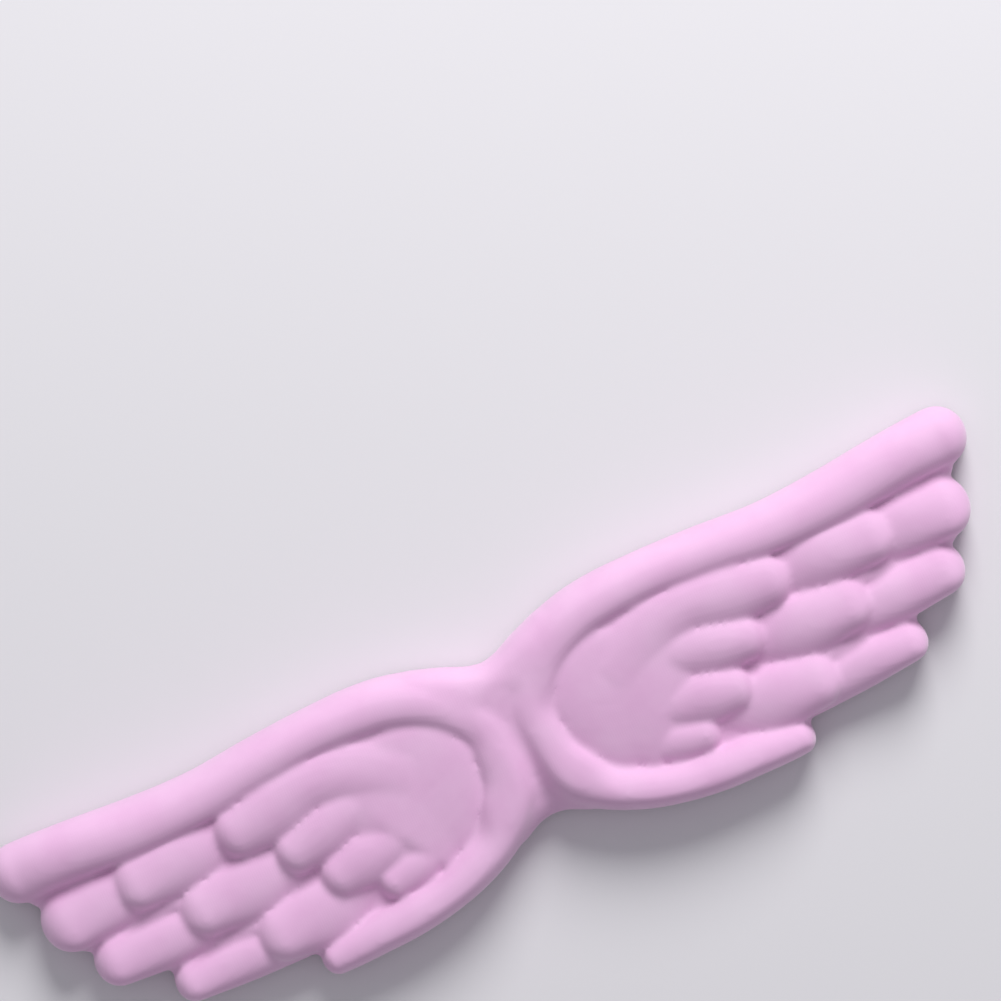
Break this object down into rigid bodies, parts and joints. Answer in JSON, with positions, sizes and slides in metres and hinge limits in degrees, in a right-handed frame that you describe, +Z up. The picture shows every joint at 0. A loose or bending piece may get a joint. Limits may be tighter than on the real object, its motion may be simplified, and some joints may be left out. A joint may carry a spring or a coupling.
{
  "type": "wrist rest",
  "caption": "Wing-shaped cushioned keyboard wrist rest: soft foam in a stretch-fabric cover, glued to a non-slip rubber base.",
  "frame": {"origin": "on the desk, midway between the wing tips and midway between the leading and trailing edges", "axes": "+X along the span towards the right wing tip, +Y towards the keyboard (leading edge), +Z up from the desk"},
  "size_m": [0.3118, 0.075, 0.019],
  "materials": {
    "cover_fabric": "matte fine stretch knit, orchid pink",
    "foam": "open-cell slow-recovery foam",
    "adhesive": "dried contact adhesive",
    "base_rubber": "matte, hexagonal grip pattern"
  },
  "bodies": {
    "root": {"top_cover": "cover_fabric", "foam_core": "foam", "bonding_film": "adhesive", "base_sheet": "base_rubber"}
  },
  "joints": []
}
